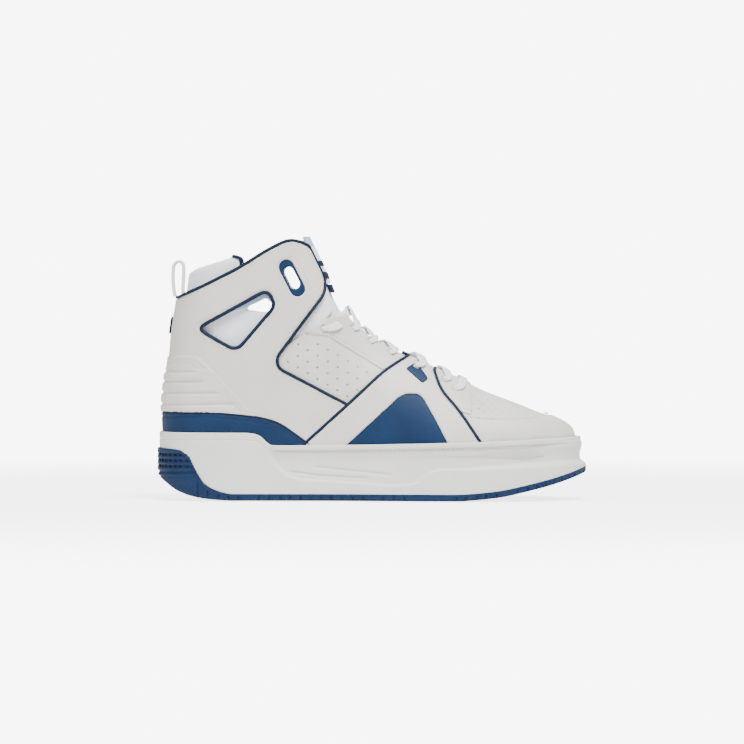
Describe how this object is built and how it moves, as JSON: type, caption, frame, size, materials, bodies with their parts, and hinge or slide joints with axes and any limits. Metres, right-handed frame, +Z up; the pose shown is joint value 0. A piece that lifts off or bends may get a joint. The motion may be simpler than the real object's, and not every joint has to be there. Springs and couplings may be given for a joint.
{
  "type": "high-top basketball shoe",
  "caption": "Right-foot high-top basketball shoe in off-white and blue leather with cupsole, side windows, laces, tongue and heel pull tab.",
  "frame": {"origin": "on the ground under the middle of the shoe's overall box", "axes": "+X towards the toe, +Z up, -Y the outer (lateral) side of the right foot"},
  "size_m": [0.304, 0.1112, 0.1843],
  "materials": {
    "leather_white": "smooth full-grain leather, matt",
    "leather_blue": "smooth coated leather, satin",
    "piping_navy": "coated leather edge piping and trims, satin",
    "textile": "knitted lining and tongue textile",
    "webbing": "woven webbing and flat lace",
    "midsole_rubber": "moulded cupsole rubber, satin",
    "sole_rubber_blue": "moulded rubber, satin",
    "foam": "open-cell foam with textile face",
    "board": "needled stitching board",
    "stiffener": "thermoformed stiffener sheet"
  },
  "bodies": {
    "shoe": {"vamp": "leather_white", "lining_forefoot": "textile", "toe_puff": "stiffener", "mudguard": "leather_white", "heel_panel": "leather_white", "heel_foxing": "leather_blue", "heel_counter": "stiffener", "lace": "webbing", "quarter_lateral": "leather_white", "eyestay_lateral": "leather_white", "lining_lateral": "textile", "collar_lateral": "leather_white", "window_trim_lateral": "piping_navy", "slot_trim_lateral": "piping_navy", "saddle_lateral": "leather_white", "saddle_inset_lateral": "leather_blue", "collar_piping_lateral": "piping_navy", "saddle_piping_rear_lateral": "piping_navy", "saddle_piping_front_lateral": "piping_navy", "saddle_tab_lateral": "leather_blue", "quarter_medial": "leather_white", "eyestay_medial": "leather_white", "lining_medial": "textile", "collar_medial": "leather_white", "window_trim_medial": "piping_navy", "slot_trim_medial": "piping_navy", "saddle_medial": "leather_white", "saddle_inset_medial": "leather_blue", "collar_piping_medial": "piping_navy", "saddle_piping_rear_medial": "piping_navy", "saddle_piping_front_medial": "piping_navy", "saddle_tab_medial": "leather_blue", "heel_badge": "piping_navy", "collar_pad": "textile", "tab_anchor": "webbing", "tongue_base": "textile", "heel_bumper": "sole_rubber_blue", "outsole": "sole_rubber_blue", "midsole": "midsole_rubber", "midsole_core": "foam", "strobel_board": "board"},
    "insole": {"sockliner": "foam"},
    "tongue": {"tongue_top": "textile", "tongue_patch": "piping_navy"},
    "tab": {"pull_tab": "webbing"}
  },
  "joints": [
    {"name": "tongue_fold", "type": "hinge", "parent": "shoe", "child": "tongue", "pos_m": [-0.028, -0.0027, 0.148], "axis": [0, 1, 0], "range_deg": [0, 40]},
    {"name": "insole_lift", "type": "hinge", "parent": "shoe", "child": "insole", "pos_m": [0.1364, -0.0027, 0.0291], "axis": [0, 1, 0], "range_deg": [0, 4]},
    {"name": "pull_tab_flex", "type": "hinge", "parent": "shoe", "child": "tab", "pos_m": [-0.1406, -0.0027, 0.1423], "axis": [0, 1, 0], "range_deg": [-25, 0], "stiffness_Nm_per_rad": 0.004}
  ]
}
